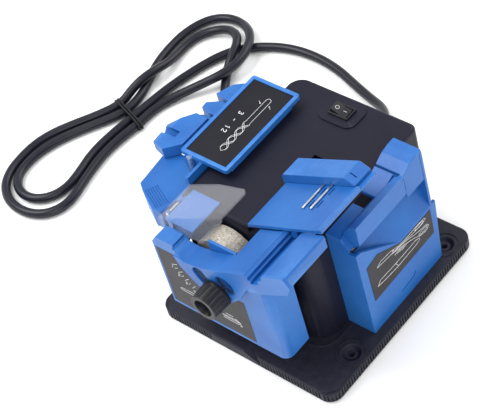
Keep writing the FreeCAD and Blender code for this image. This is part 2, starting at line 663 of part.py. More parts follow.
def guard_pin():
    return rod("y", GUARD_HINGE_X, GUARD_HINGE_Z, GUARD_PIN_R, -78.5, -60.5)


# ---------------------------------------------------------------- switch

def switch_bezel():
    outer = box((SWITCH_X - 10.5, SWITCH_X + 10.5), (SWITCH_Y - 6.9, SWITCH_Y + 6.9),
                (HOUSE_TOP + 1.2, HOUSE_TOP + 3.4))
    outer = outer.makeFillet(1.5, edges_where(outer, is_upright))
    window = box((SWITCH_X - 9.1, SWITCH_X + 9.1), (SWITCH_Y - 5.2, SWITCH_Y + 5.2), (120, 140))
    return outer.cut(window)


def switch_rocker():
    half = 7.8
    profile = [(SWITCH_X - half, 127.5), (SWITCH_X - half, 136.2), (SWITCH_X, 133.4), (SWITCH_X + half, 132.9),
               (SWITCH_X + half, 127.5)]
    rocker = prism("xz", profile, SWITCH_Y - 4.8, SWITCH_Y + 4.8)
    return rocker.cut(rod("y", SWITCH_X, ROCKER_PIVOT_Z, 1.0 + RUNNING_GAP, 60, 100))


def switch_body():
    block = box((SWITCH_X - 8.8, SWITCH_X + 8.8), (SWITCH_Y - 5.5, SWITCH_Y + 5.5), (108, 124.5))
    for x in (-6, 0, 6):
        block = block.fuse(box((SWITCH_X + x - 0.4, SWITCH_X + x + 0.4), (SWITCH_Y - 3, SWITCH_Y + 3), (100, 108.5)))
    pin = rod("y", SWITCH_X, ROCKER_PIVOT_Z, 1.0, SWITCH_Y - 5.6, SWITCH_Y + 5.6)
    cheeks = [box((SWITCH_X - 2, SWITCH_X + 2), (SWITCH_Y + s, SWITCH_Y + s + 0.5), (124, 131.0))
              for s in (-5.6, 5.1)]
    return fuse(block, pin, *cheeks)


# ---------------------------------------------------------------- drill station

def station_body():
    side = box((-92, -69.2), (-8, 62), (98, STATION_DECK))
    side = side.cut(box((-89, -72), (-5, 59), (95, STATION_DECK - 3)))
    over = box((-92, -46), (-18, 62), (HOUSE_TOP + 0.2, STATION_DECK))
    over = over.cut(box((-66, -49), (-15, 59), (HOUSE_TOP, STATION_DECK - 3)))
    front = box((-92, -69.2), (-25, -8), (122.8, STATION_DECK))
    front = front.cut(box((-89, -72), (-18, -9), (120, STATION_DECK - 3)))
    web = box((-72.1, -69.2), (-46, -8), (101, 123.2))
    web = web.fuse(box((-72.1, -69.2), (-46, -18), (123, STATION_DECK)))
    return fuse(side, over, front, web).cut(rod("z", ARM_X, ARM_Y, ARM_PIN_R, 120, STATION_DECK + 1))


def station_frame():
    plate = box(STATION_X, STATION_Y, (STATION_DECK, STATION_TOP))
    plate = plate.makeFillet(2.5, edges_where(plate, is_upright))
    rim = 3.6
    recess = box((STATION_X[0] + rim, STATION_X[1] - rim), (STATION_Y[0] + rim, STATION_Y[1] - rim),
                 (STATION_TOP - 1.4, STATION_TOP + 1))
    return plate.cut(recess)


def station_label():
    rim = 3.8
    return box((STATION_X[0] + rim, STATION_X[1] - rim), (STATION_Y[0] + rim, STATION_Y[1] - rim),
               (STATION_TOP - 1.4, STATION_TOP - 0.7))


def station_catches():
    blocks = [
        prism("xy", [(-115, 24.5), (-115.5, 31), (-104, 38.5), (-92, 38.5), (-92, 23), (-104, 22)], 121, 134),
        prism("xy", [(-112.5, 41.5), (-106, 57), (-98, 63), (-92, 63), (-92, 40), (-104, 40)], 124, 136),
        prism("xy", [(-115, 18.0), (-110, 21.0), (-92, 21.5), (-92, 18.5)], 124, 131),
        prism("yz", [(-16.5, 124), (-16.5, 133.5), (-9, 124)], -98, -92),
    ]
    return Part.makeCompound(blocks)


def arm_pin():
    return rod("z", ARM_X, ARM_Y, ARM_PIN_R, 97, STATION_DECK)


def swing_arm():
    outline = [(-118, -28), (-108, -18.5), (-93, -18.5), (-75, -31), (-72.5, -55), (-77, -77), (-86, -78),
               (-106, -67), (-114.5, -61)]
    arm = prism("xy", outline, 101, 122)
    arm = arm.cut(prism("xy", [(-115, -29), (-107, -21.5), (-97, -21.5), (-97, -60), (-104, -63.5),
                               (-112, -59.5)], 100, 119))
    grips = []
    for i in range(GRIP_COUNT):
        slot = box((1, 25), (-0.4, 0.4), (121.2, 123))
        slot.rotate(V(0, 0, 0), V(0, 0, 1), GRIP_TURN)
        slot.translate(V(-105.5 + 0.95 * i, -64.4 + 1.9 * i, 0))
        grips.append(slot)
    arm = arm.cut(Part.makeCompound(grips))
    return arm.cut(rod("z", ARM_X, ARM_Y, ARM_PIN_R + RUNNING_GAP, 90, 140))


RAIL_Y = (-3.0, 10.0)
RAIL_Z = 129.0


def jaw_rails():
    return Part.makeCompound([rod("x", y, RAIL_Z, 2.0, -121, -92) for y in RAIL_Y])


def drill_jaw():
    outline = [(-127, -26), (-130, -4), (-114, 16.5), (-101, 16.5), (-101, -17), (-113, -30)]
    jaw = prism("xy", outline, 123.5, 134.5)
    jaw = jaw.cut(prism("xz", [(-132, 140), (-132, 131), (-122, 134.6)], -40, 30))
    notch = prism("yz", [(-14, 140), (-14, 131), (-10.5, 127.5), (-7, 131), (-7, 140)], -140, -112)
    bores = [rod("x", y, RAIL_Z, 2.0 + RUNNING_GAP, -123, -90) for y in RAIL_Y]
    return jaw.cut(notch).cut(Part.makeCompound(bores))


# ---------------------------------------------------------------- fasteners

def strap_screws():
    places = [(-46.6, 0), (11.8, 0)]
    return Part.makeCompound([rod("z", x, y, 2.6, SHAFT_Z - 4.8, SHAFT_Z - 2.8) for x, y in places])


def cover_screws():
    places = [(-84, -10), (84, -10), (-30, -88), (30, -88), (-30, 90), (30, 90)]
    heads = [rod("z", x, y, 3.2, 0.8, BASE_BOTTOM) for x, y in places]
    return Part.makeCompound(heads)


# ---------------------------------------------------------------- mains cord

def cord_gland():
    collar = rod("y", GLAND_X, GLAND_Z, 8.5, HOUSE_Y[1], HOUSE_Y[1] + 2.5)
    taper = Part.makeCone(7.4, CORD_R + 0.5, GLAND_END - HOUSE_Y[1], V(GLAND_X, HOUSE_Y[1], GLAND_Z), V(0, 1, 0))
    plug_in = rod("y", GLAND_X, GLAND_Z, 5.4, HOUSE_Y[1] - WALL - 3, HOUSE_Y[1])
    body = fuse(collar, taper, plug_in)
    return body


def cord_tube(route, label):
    """Straight runs joined by tangent arcs as large as the runs allow."""
    points = [V(*p) for p in route]
    edges = []
    last = points[0]
    tightest = 1e9
    for before, corner, after in zip(points, points[1:], points[2:]):
        inward = (before - corner)
        outward = (after - corner)
        reach = 0.45 * min(inward.Length, outward.Length)
        turn = math.pi - inward.getAngle(outward)
        tightest = min(tightest, reach / math.tan(turn / 2))
        inward.normalize()
        outward.normalize()
        start = corner + inward * reach
        end = corner + outward * reach
        half = (inward + outward).normalize()
        radius = reach / math.tan(turn / 2)
        middle = corner + half * (math.hypot(radius, reach) - radius)
        edges.append(Part.LineSegment(last, start).toShape())
        edges.append(Part.Arc(start, middle, end).toShape())
        last = end
    edges.append(Part.LineSegment(last, points[-1]).toShape())
    path = Part.Wire(edges)
    length = path.Length
    normal = points[1] - points[0]
    section = Part.Wire(Part.Circle(points[0], normal, CORD_R).toShape())
    tube = path.makePipeShell([section], True, False, 2)
    print(label, "length", round(length, 1), "tightest radius", round(tightest, 1),
          "volume ratio", round(tube.Volume / (math.pi * CORD_R ** 2 * length), 4))
    return tube


def cord_hank():
    """The outer shape of the two lobes and the tied waist."""
    curve = Part.BSplineCurve()
    curve.interpolate([V(x, y, HANK_FLOOR) for x, y in HANK_OUTLINE], PeriodicFlag=True)
    return Part.Face(Part.Wire(curve.toShape())).extrude(V(0, 0, HANK_HEIGHT - HANK_FLOOR))


def mains_plug():
    end = V(*TAIL_ROUTE[-1])
    along = (end - V(*TAIL_ROUTE[-2])).normalize()
    lift = V(0, 0, 4.2)
    relief = Part.makeCone(CORD_R + 0.5, 6.6, 20, end, along)
    body = box((0, 34), (-11, 11), (-4, 12))
    body = body.makeFillet(3.5, edges_where(body, is_upright))
    angle = math.degrees(math.atan2(along.y, along.x))
    body.rotate(V(0, 0, 0), V(0, 0, 1), angle)
    body.translate(end + along * 18 + V(0, 0, 0.4))
    pins = []
    for side in (-6.0, 6.0):
        start = end + along * 51 + V(-along.y, along.x, 0) * side + lift
        pins.append(Part.makeCylinder(2.0, 18, start, along))
    shape = relief.multiFuse([body] + pins).removeSplitter()
    return shape.common(box((-400, 400), (-400, 400), (0.15, 60)))


def cord_tie():
    """A twist tie round the waist, as a flat loop over and beside the strands."""
    band = box((-25, 25), (-2.6, 2.6), (HANK_HEIGHT, HANK_HEIGHT + 1.4))
    band.rotate(V(0, 0, 0), V(0, 0, 1), -18)
    band.translate(V(-283, 66, 0))
    return band


NODES = {
    "base_plate": base_plate,
    "bottom_cover": bottom_cover,
    "rubber_feet": rubber_feet,
    "cover_screws": cover_screws,
    "motor_housing": motor_housing,
    "front_pedestal": front_pedestal,
    "motor_can": motor_can,
    "motor_front_bell": lambda: motor_end(CAN_Y[0] - 2.5, CAN_Y[0]),
    "motor_rear_bell": lambda: motor_end(CAN_Y[1], CAN_Y[1] + 2.5),
    "motor_magnets": motor_magnets,
    "motor_saddle": motor_saddle,
    "motor_strap": motor_strap,
    "strap_screws": strap_screws,
    "front_bearing": lambda: ring("y", SHAFT_X, SHAFT_Z, 9, SHAFT_R + RUNNING_GAP, -45.5, CAN_Y[0] - 2.5),
    "rear_bearing": lambda: ring("y", SHAFT_X, SHAFT_Z, 9, SHAFT_R + RUNNING_GAP, CAN_Y[1] + 2.5, 45.4),
    "motor_shaft": lambda: rod("y", SHAFT_X, SHAFT_Z, SHAFT_R, SHAFT_Y[0], SHAFT_Y[1]),
    "armature": armature,
    "commutator": lambda: ring("y", SHAFT_X, SHAFT_Z, 9, SHAFT_R, 20, 32),
    "cooling_fan": cooling_fan,
    "motor_pulley": lambda: pulley(SHAFT_X, SHAFT_Z, SHAFT_R),
    "inner_washer": lambda: ring("y", SHAFT_X, SHAFT_Z, 8, SHAFT_R, WHEEL_Y[1], WHEEL_Y[1] + 3),
    "grinding_wheel": lambda: ring("y", SHAFT_X, SHAFT_Z, WHEEL_R, SHAFT_R, WHEEL_Y[0], WHEEL_Y[1]),
    "outer_washer": lambda: ring("y", SHAFT_X, SHAFT_Z, 11, SHAFT_R, WHEEL_Y[0] - 2, WHEEL_Y[0]),
    "wheel_nut": wheel_nut,
    "drive_belt": drive_belt,
    "knife_box": knife_box,
    "scissor_table": scissor_table,
    "knife_spindle": lambda: rod("y", SPINDLE_X, SPINDLE_Z, SPINDLE_R, -26.0, 63.3),
    "honing_drum": honing_drum,
    "spindle_pulley": lambda: pulley(SPINDLE_X, SPINDLE_Z, SPINDLE_R),
    "spindle_bearings": spindle_bearings,
    "front_bracket": front_bracket,
    "front_label": front_label,
    "pivot_pin": pivot_pin,
    "tilt_cradle": tilt_cradle,
    "lock_knob": lock_knob,
    "knob_stud": knob_stud,
    "carriage_plate": carriage_plate,
    "clamp_block": clamp_block,
    "guide_wires": guide_wires,
    "spark_guard": spark_guard,
    "guard_bracket": guard_bracket,
    "guard_pin": guard_pin,
    "switch_bezel": switch_bezel,
    "switch_rocker": switch_rocker,
    "switch_body": switch_body,
    "station_body": station_body,
    "station_frame": station_frame,
    "station_label": station_label,
    "station_catches": station_catches,
    "arm_pin": arm_pin,
    "swing_arm": swing_arm,
    "jaw_rails": jaw_rails,
    "drill_jaw": drill_jaw,
    "cord_gland": cord_gland,
    "cord_lead": lambda: cord_tube(LEAD_ROUTE, "lead"),
    "cord_tail": lambda: cord_tube(TAIL_ROUTE, "tail"),
    "cord_hank": cord_hank,
    "mains_plug": mains_plug,
    "cord_tie": cord_tie,
}

for name, make in NODES.items():
    save(name, make())
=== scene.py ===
import json
import math

import bpy
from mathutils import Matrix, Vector


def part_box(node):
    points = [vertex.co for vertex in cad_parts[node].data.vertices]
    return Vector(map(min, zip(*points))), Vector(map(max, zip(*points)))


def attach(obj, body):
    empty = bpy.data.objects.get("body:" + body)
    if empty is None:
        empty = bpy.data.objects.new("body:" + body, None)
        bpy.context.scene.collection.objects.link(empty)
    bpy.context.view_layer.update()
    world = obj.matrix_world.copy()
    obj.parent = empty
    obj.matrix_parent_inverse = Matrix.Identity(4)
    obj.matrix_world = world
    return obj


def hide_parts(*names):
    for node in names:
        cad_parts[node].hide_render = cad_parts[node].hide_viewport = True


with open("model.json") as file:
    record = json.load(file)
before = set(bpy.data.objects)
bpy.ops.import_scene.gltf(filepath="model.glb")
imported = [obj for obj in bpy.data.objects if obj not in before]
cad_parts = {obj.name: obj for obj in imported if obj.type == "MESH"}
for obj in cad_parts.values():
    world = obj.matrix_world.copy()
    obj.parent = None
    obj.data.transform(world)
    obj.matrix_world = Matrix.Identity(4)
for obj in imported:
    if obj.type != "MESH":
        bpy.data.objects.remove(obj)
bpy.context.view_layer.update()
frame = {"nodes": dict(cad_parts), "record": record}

MM = 0.001


# ---------------------------------------------------------------- camera

CAMERA_PLACE = (0.7453, -0.6221, 1.1411)
CAMERA_TURN = (41.938, 12.121, 39.641)
CAMERA_LENS = 130.26


def add_camera():
    data = bpy.data.cameras.new("camera")
    data.lens = CAMERA_LENS
    data.sensor_width = 36.0
    data.clip_start = 0.05
    camera = bpy.data.objects.new("camera", data)
    camera.location = CAMERA_PLACE
    camera.rotation_euler = [math.radians(a) for a in CAMERA_TURN]
    bpy.context.collection.objects.link(camera)
    bpy.context.scene.camera = camera


# ---------------------------------------------------------------- materials

def node_material(name, rough, metallic=0.0, coat=0.0, specular=0.5):
    material = bpy.data.materials.new(name)
    material.use_nodes = True
    shader = material.node_tree.nodes["Principled BSDF"]
    shader.inputs["Roughness"].default_value = rough
    shader.inputs["Metallic"].default_value = metallic
    shader.inputs["Coat Weight"].default_value = coat
    shader.inputs["Specular IOR Level"].default_value = specular
    return material, shader


def noise(material, scale, detail=4.0, rough=0.55):
    nodes = material.node_tree.nodes
    links = material.node_tree.links
    place = nodes.new("ShaderNodeTexCoord")
    texture = nodes.new("ShaderNodeTexNoise")
    texture.inputs["Scale"].default_value = scale
    texture.inputs["Detail"].default_value = detail
    texture.inputs["Roughness"].default_value = rough
    links.new(place.outputs["Object"], texture.inputs["Vector"])
    return texture.outputs["Fac"]


def ramp(material, source, low, high, start=0.3, end=0.7):
    nodes = material.node_tree.nodes
    colours = nodes.new("ShaderNodeValToRGB")
    colours.color_ramp.elements[0].position = start
    colours.color_ramp.elements[0].color = (*low, 1)
    colours.color_ramp.elements[1].position = end
    colours.color_ramp.elements[1].color = (*high, 1)
    material.node_tree.links.new(source, colours.inputs["Fac"])
    return colours.outputs["Color"]


def bump(material, shader, source, strength, distance):
    node = material.node_tree.nodes.new("ShaderNodeBump")
    node.inputs["Strength"].default_value = strength
    node.inputs["Distance"].default_value = distance
    material.node_tree.links.new(source, node.inputs["Height"])
    material.node_tree.links.new(node.outputs["Normal"], shader.inputs["Normal"])


def vary_roughness(material, shader, source, low, high):
    node = material.node_tree.nodes.new("ShaderNodeMapRange")
    node.inputs["To Min"].default_value = low
    node.inputs["To Max"].default_value = high
    material.node_tree.links.new(source, node.inputs["Value"])
    material.node_tree.links.new(node.outputs["Result"], shader.inputs["Roughness"])


def edge_highlit_plastic(name, dark, light, rough, grain_scale, grain_depth, edge, shine=0.4):
    """Moulded plastic: fine grain, slow colour drift, and convex edges painted slightly paler as a painted
    highlight.
    """
    material, shader = node_material(name, rough, specular=shine)
    links = material.node_tree.links
    nodes = material.node_tree.nodes
    slow = ramp(material, noise(material, 22.0, 3.0), dark, light)
    geometry = nodes.new("ShaderNodeNewGeometry")
    # painted highlight: convex edges (by pointiness) are mixed in patches towards the paler edge colour
    edge_highlight_mask = ramp(material, geometry.outputs["Pointiness"], (0, 0, 0), (1, 1, 1), 0.52, 0.62)
    patchy_edge_highlight = nodes.new("ShaderNodeMath")
    patchy_edge_highlight.operation = "MULTIPLY"
    links.new(edge_highlight_mask, patchy_edge_highlight.inputs[0])
    links.new(noise(material, 160.0, 5.0), patchy_edge_highlight.inputs[1])
    mix = nodes.new("ShaderNodeMix")
    mix.data_type = "RGBA"
    links.new(patchy_edge_highlight.outputs[0], mix.inputs["Factor"])
    links.new(slow, mix.inputs["A"])
    mix.inputs["B"].default_value = (*edge, 1)
    links.new(mix.outputs["Result"], shader.inputs["Base Color"])
    grain = noise(material, grain_scale, 2.0)
    bump(material, shader, grain, 0.35, grain_depth)
    vary_roughness(material, shader, noise(material, 60.0), rough - 0.05, rough + 0.07)
    return material


def brushed_steel(name, tone, rough):
    material, shader = node_material(name, rough, metallic=1.0)
    low = tuple(0.8 * tone for _ in range(3))
    high = tuple(tone for _ in range(3))
    links = material.node_tree.links
    links.new(ramp(material, noise(material, 90.0, 3.0), low, high), shader.inputs["Base Color"])
    vary_roughness(material, shader, noise(material, 400.0, 2.0), rough - 0.08, rough + 0.1)
    bump(material, shader, noise(material, 1500.0, 2.0), 0.2, 0.00003)
    return material


def grit_material(name):
    """Bonded abrasive: tightly packed grains, some pale and some dark."""
    material, shader = node_material(name, 0.85)
    nodes = material.node_tree.nodes
    links = material.node_tree.links
    place = nodes.new("ShaderNodeTexCoord")
    grains = nodes.new("ShaderNodeTexVoronoi")
    grains.inputs["Scale"].default_value = 1100.0
    links.new(place.outputs["Object"], grains.inputs["Vector"])
    fine = ramp(material, grains.outputs["Distance"], (0.95, 0.90, 0.81), (0.42, 0.39, 0.34), 0.05, 0.75)
    patches = ramp(material, noise(material, 130.0, 6.0, 0.7), (0.50, 0.48, 0.44), (1.0, 0.98, 0.94),
                   0.35, 0.65)
    mix = nodes.new("ShaderNodeMix")
    mix.data_type = "RGBA"
    mix.blend_type = "MULTIPLY"
    mix.inputs["Factor"].default_value = 0.8
    links.new(fine, mix.inputs["A"])
    links.new(patches, mix.inputs["B"])
    links.new(mix.outputs["Result"], shader.inputs["Base Color"])
    bump(material, shader, grains.outputs["Distance"], 0.9, 0.0004)
    return material


def printed_label(name, dark, light, rough):
    material, shader = node_material(name, rough, specular=0.25)
    links = material.node_tree.links
    links.new(ramp(material, noise(material, 45.0, 4.0), dark, light), shader.inputs["Base Color"])
    bump(material, shader, noise(material, 900.0, 2.0), 0.15, 0.00003)
    vary_roughness(material, shader, noise(material, 70.0), rough - 0.05, rough + 0.08)
    return material


def white_ink(name):
    material, shader = node_material(name, 0.6)
    links = material.node_tree.links
    links.new(ramp(material, noise(material, 300.0), (0.68, 0.68, 0.68), (0.85, 0.85, 0.85)),
              shader.inputs["Base Color"])
    return material


def clear_plastic(name):
    """Thin clear sheet: mostly see-through, a little milky, and bright where it is seen edge on."""
    material, shader = node_material(name, 0.12, specular=0.5)
    nodes = material.node_tree.nodes
    links = material.node_tree.links
    links.new(ramp(material, noise(material, 30.0), (0.50, 0.50, 0.54), (0.60, 0.60, 0.64)),
              shader.inputs["Base Color"])
    bump(material, shader, noise(material, 70.0, 2.0), 0.08, 0.0002)
    vary_roughness(material, shader, noise(material, 250.0, 5.0), 0.06, 0.18)
    clear = nodes.new("ShaderNodeBsdfTransparent")
    slant = nodes.new("ShaderNodeLayerWeight")
    slant.inputs["Blend"].default_value = 0.35
    milk = nodes.new("ShaderNodeMapRange")
    milk.inputs["From Min"].default_value = 0.45
    milk.inputs["To Min"].default_value = 0.09
    milk.inputs["To Max"].default_value = 0.60
    links.new(slant.outputs["Facing"], milk.inputs["Value"])
    blend = nodes.new("ShaderNodeMixShader")
    links.new(milk.outputs["Result"], blend.inputs["Fac"])
    links.new(clear.outputs["BSDF"], blend.inputs[1])
    links.new(shader.outputs["BSDF"], blend.inputs[2])
    links.new(blend.outputs["Shader"], nodes["Material Output"].inputs["Surface"])
    return material


def rubber_material(name, dark, light, rough, scale):
    material, shader = node_material(name, rough, specular=0.35)
    links = material.node_tree.links
    links.new(ramp(material, noise(material, 40.0), dark, light), shader.inputs["Base Color"])
    bump(material, shader, noise(material, scale, 3.0), 0.3, 0.00008)
    vary_roughness(material, shader, noise(material, 90.0), rough - 0.06, rough + 0.08)
    return material


def copper_material(name):
    material, shader = node_material(name, 0.35, metallic=0.9)
    nodes = material.node_tree.nodes
    links = material.node_tree.links
    place = nodes.new("ShaderNodeTexCoord")
    wires = nodes.new("ShaderNodeTexWave")
    wires.bands_direction = "Y"
    wires.inputs["Scale"].default_value = 380.0
    links.new(place.outputs["Object"], wires.inputs["Vector"])
    links.new(ramp(material, wires.outputs["Fac"], (0.35, 0.14, 0.05), (0.85, 0.42, 0.20)),
              shader.inputs["Base Color"])
    bump(material, shader, wires.outputs["Fac"], 0.5, 0.0003)
    return material


# the last colour of each plastic is its painted edge highlight
MATERIALS = {
    "blue_plastic": edge_highlit_plastic("blue_plastic", (0.007, 0.090, 0.345), (0.013, 0.124, 0.415), 0.40,
                                 1500.0, 0.00004, (0.07, 0.24, 0.60)),
    "black_plastic": edge_highlit_plastic("black_plastic", (0.0030, 0.0033, 0.0125), (0.0055, 0.0060, 0.0175),
                                  0.52, 1900.0, 0.00007, (0.03, 0.03, 0.040), 0.25),
    "black_knob": edge_highlit_plastic("black_knob", (0.004, 0.004, 0.007), (0.008, 0.008, 0.012), 0.36,
                               1800.0, 0.00004, (0.03, 0.03, 0.035), 0.35),
    "black_rubber": rubber_material("black_rubber", (0.006, 0.006, 0.009), (0.011, 0.011, 0.015),
                                    0.62, 900.0),
    "cord_jacket": rubber_material("cord_jacket", (0.0040, 0.0042, 0.0110), (0.008, 0.0084, 0.0170),
                                   0.33, 700.0),
    "steel": brushed_steel("steel", 0.72, 0.28),
    "ferrite": rubber_material("ferrite", (0.05, 0.05, 0.055), (0.09, 0.09, 0.095), 0.6, 1200.0),
    "copper": copper_material("copper"),
    "abrasive": grit_material("abrasive"),
    "grey_label": printed_label("grey_label", (0.024, 0.023, 0.027), (0.036, 0.035, 0.040), 0.5),
    "dark_label": printed_label("dark_label", (0.0030, 0.0032, 0.0075), (0.0060, 0.0063, 0.0115), 0.5),
    "clear_guard": clear_plastic("clear_guard"),
}
WHITE_INK = white_ink("white_ink")


# ---------------------------------------------------------------- CAD nodes

EDGE_WIDTH = {
    "blue_plastic": 0.0007, "black_plastic": 0.0006, "black_knob": 0.0004, "clear_guard": 0.0003,
    "black_rubber": 0.0004, "steel": 0.00025, "abrasive": 0.0006,
}


def soften_edges(piece, width):
    """Moulded edges: the mesh is joined at its seams, then every sharp edge gets a small round."""
    weld = piece.modifiers.new("weld", "WELD")
    weld.merge_threshold = 0.00001
    edges = piece.modifiers.new("edges", "BEVEL")
    edges.width = width
    edges.segments = 2
    edges.limit_method = "ANGLE"
    edges.angle_limit = math.radians(35)
    edges.harden_normals = True


def dress_nodes():
    hidden_later = {"cord_lead", "cord_tail", "cord_hank", "cord_gland", "cord_tie"}
    for part in frame["record"]["subparts"]:
        piece = frame["nodes"][part["node"]]
        slot = part["material_slot"]
        piece.data.materials.clear()
        piece.data.materials.append(MATERIALS[slot])
        if part["node"] not in hidden_later and slot in EDGE_WIDTH:
            soften_edges(piece, EDGE_WIDTH[slot])


# ---------------------------------------------------------------- mesh helpers

def riding_piece(name, data, body):
    piece = bpy.data.objects.new(name, data)
    bpy.context.collection.objects.link(piece)
    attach(piece, body)
    return piece


def mesh_piece(name, points, faces, material, body="frame", smooth=False):
    mesh = bpy.data.meshes.new(name)
    mesh.from_pydata([tuple(p) for p in points], [], faces)
    mesh.materials.append(material)
    if smooth:
        for polygon in mesh.polygons:
            polygon.use_smooth = True
    return riding_piece(name, mesh, body)


def round_curve(name, radius, sides, material):
    """An empty curve that its splines turn into round wire; radius in mm."""
    curve = bpy.data.curves.new(name, "CURVE")
    curve.dimensions = "3D"
    curve.bevel_depth = radius * MM
    curve.bevel_resolution = sides
    curve.use_fill_caps = True
    curve.materials.append(material)
    return curve


def ink_lines(name, lines, place, thick=0.17, body="frame"):
    """Printed line drawings: round strokes along each line, which place() puts on the label."""
    curve = round_curve(name, thick, 2, WHITE_INK)
    for line in lines:
        stroke = curve.splines.new("POLY")
        stroke.points.add(len(line) - 1)
        for point, flat in zip(stroke.points, line):
            point.co = (*place(*flat), 1)
    return riding_piece(name, curve, body)


def circle(x, y, radius, start=0, end=360, steps=16):
    line = []
    for i in range(steps + 1):
        angle = math.radians(start + (end - start) * i / steps)
        line.append((x + radius * math.cos(angle), y + radius * math.sin(angle)))
    return line


def moved(lines, x, y, degrees=0.0, scale=1.0):
    cos, sin = math.cos(math.radians(degrees)), math.sin(math.radians(degrees))
    return [[(x + scale * (p * cos - q * sin), y + scale * (p * sin + q * cos)) for p, q in line]
            for line in lines]


# ---------------------------------------------------------------- mains cord

CORD_RADIUS = 4.5
FLOOR_LAYER = 4.8
LEAD = [(-40, 123, 24), (-40, 146, 24), (-47, 167, 19.5), (-62.5, 183, 12), (-84, 191.5, 6.2),
        (-108, 199.5, 4.8), (-139, 210, 4.8), (-172, 214, 4.8), (-203, 210, 4.8), (-230, 197, 4.8)]
FIRST_DOWN = [(-248, 181), (-259, 160), (-267, 134), (-273, 106), (-277.5, 64), (-281, 35), (-281, 8),
              (-275, -16), (-272.5, -34), (-276.5, -49), (-287, -60), (-301.5, -64), (-316, -60),
              (-326.5, -49), (-330.5, -34), (-330, -15), (-324, 5), (-314.5, 24), (-301.5, 45)]
OUTER_UP = [(-288.5, 66, 4.8), (-289.5, 88, 4.8), (-296, 108, 4.8), (-304.5, 128, 4.8), (-309, 153, 4.8),
            (-309, 181, 4.8), (-300, 205, 4.8), (-284, 216.5, 4.8), (-264, 216.5, 6.5), (-243, 206, 12.3),
            (-229, 189, 14.8), (-223, 166, 14.8), (-227, 145, 14.6), (-242, 126, 9.8), (-258, 105, 5.2),
            (-266, 83, 4.8), (-266.5, 58, 4.8)]
SECOND_DOWN = [(-271.5, 20), (-265, -18), (-258.5, -40), (-259, -56), (-267, -69.5), (-280.5, -77),
               (-296.5, -79), (-313.5, -75.5), (-329, -65), (-338.5, -48.5), (-341.5, -28), (-341, -8),
               (-335, 11), (-324, 30), (-311, 50)]
INNER_UP = [(-300, 72, 5.2), (-299, 88, 10.4), (-295.5, 103, 14.9), (-292, 119, 14.5),
            (-292.5, 136, 8.8), (-295.5, 154, 5.0), (-296, 171, 4.8), (-292, 184.5, 4.8),
            (-281.5, 196, 6.2), (-267, 200, 9.7), (-252, 196, 13.4), (-241.5, 185, 14.8),
            (-237.5, 170, 11.5), (-233, 155, 5.4)]
TAIL = [(-222, 139, 4.8), (-209, 122, 4.8), (-194, 107, 4.8), (-177, 95, 4.8)]


def cord_route():
    first = [(x, y, FLOOR_LAYER) for x, y in FIRST_DOWN]
    second = [(x, y, FLOOR_LAYER) for x, y in SECOND_DOWN]
    return LEAD + first + OUTER_UP + second + INNER_UP + TAIL


def nurbs_cord(name, route):
    curve = round_curve(name, CORD_RADIUS, 5, MATERIALS["cord_jacket"])
    curve.resolution_u = 8
    line = curve.splines.new("NURBS")
    line.points.add(len(route) - 1)
    for point, (x, y, z) in zip(line.points, route):
        point.co = (x * MM, y * MM, z * MM, 1)
    line.order_u = 3
    line.use_endpoint_u = True
    return riding_piece(name, curve, "frame")


def cord_length(piece):
    bare = piece.copy()
    bare.data = piece.data.copy()
    bare.data.bevel_depth = 0
    bpy.context.collection.objects.link(bare)
    mesh = bpy.data.meshes.new_from_object(bare)
    total = 0.0
    for edge in mesh.edges:
        a, b = (mesh.vertices[i].co for i in edge.vertices)
        total += (a - b).length
    bpy.data.objects.remove(bare)
    return total


def turned_piece(name, profile, centre, axis, material, sides=32):
    """A shape of revolution: profile is (distance along the axis, radius), in mm."""
    along = Vector(axis).normalized()
    side = along.orthogonal().normalized()
    other = along.cross(side)
    start = Vector(centre) * MM
    points, faces = [], []
    for distance, radius in profile:
        for i in range(sides):
            angle = 2 * math.pi * i / sides
            out = side * math.cos(angle) + other * math.sin(angle)
            points.append(start + along * (distance * MM) + out * (radius * MM))
    for k in range(len(profile) - 1):
        for i in range(sides):
            j = (i + 1) % sides
            faces.append((k * sides + i, k * sides + j, (k + 1) * sides + j, (k + 1) * sides + i))
    faces.append(tuple(reversed(range(sides))))
    faces.append(tuple(range((len(profile) - 1) * sides, len(profile) * sides)))
    return mesh_piece(name, points, faces, material, smooth=True)


def strain_relief():
    """A tapered boot with grooves cut round it, so that it bends evenly."""
    profile = [(-5.5, 5.3), (0, 5.3), (0.0, 8.4), (2.2, 8.4), (2.6, 7.3)]
    grooves, pitch, taper, depth = 5, 4.1, 0.36, 1.1
    for i in range(grooves):
        start = 4.2 + pitch * i
        wide = 7.2 - taper * i
        profile += [(start, wide), (start + 0.4, wide - depth), (start + 1.4, wide - depth),
                    (start + 1.8, wide - 0.1)]
    profile += [(25.4, 5.2), (26.0, 4.7)]
    piece = turned_piece("strain_relief", profile, (-40, 97, 24), (0, 1, 0), MATERIALS["black_rubber"])
    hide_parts("cord_gland")


def twist_tie():
    """A thin coated wire wound twice round the waist of the hank."""
    centre = Vector((-283, 65, 0))
    across = Vector((math.cos(math.radians(-18)), math.sin(math.radians(-18)), 0))
    curve = round_curve("twist_tie", 1.0, 3, MATERIALS["black_rubber"])
    for lean in (-1.4, 1.4):
        along = Vector((-across.y, across.x, 0)) * lean
        loop = [(-24.5, 1.4), (-25, 7), (-21, 10.6), (-6, 10.7), (8, 10.7), (20, 10.6), (24, 7), (23.5, 1.4),
                (10, 1.2), (-12, 1.2)]
        line = curve.splines.new("NURBS")
        line.points.add(len(loop) - 1)
        for point, (s, z) in zip(line.points, loop):
            at = centre + across * s + along + Vector((0, 0, z))
            point.co = (at.x * MM, at.y * MM, at.z * MM, 1)
        line.order_u = 3
        line.use_cyclic_u = True
    piece = riding_piece("twist_tie", curve, "frame")
    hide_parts("cord_tie")
    return piece


def mains_cord():
    piece = nurbs_cord("mains_cord", cord_route())
    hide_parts("cord_lead", "cord_tail", "cord_hank")
    tie = twist_tie()
    length = cord_length(piece)
    print("cord length", round(length, 4))


# ---------------------------------------------------------------- printed labels

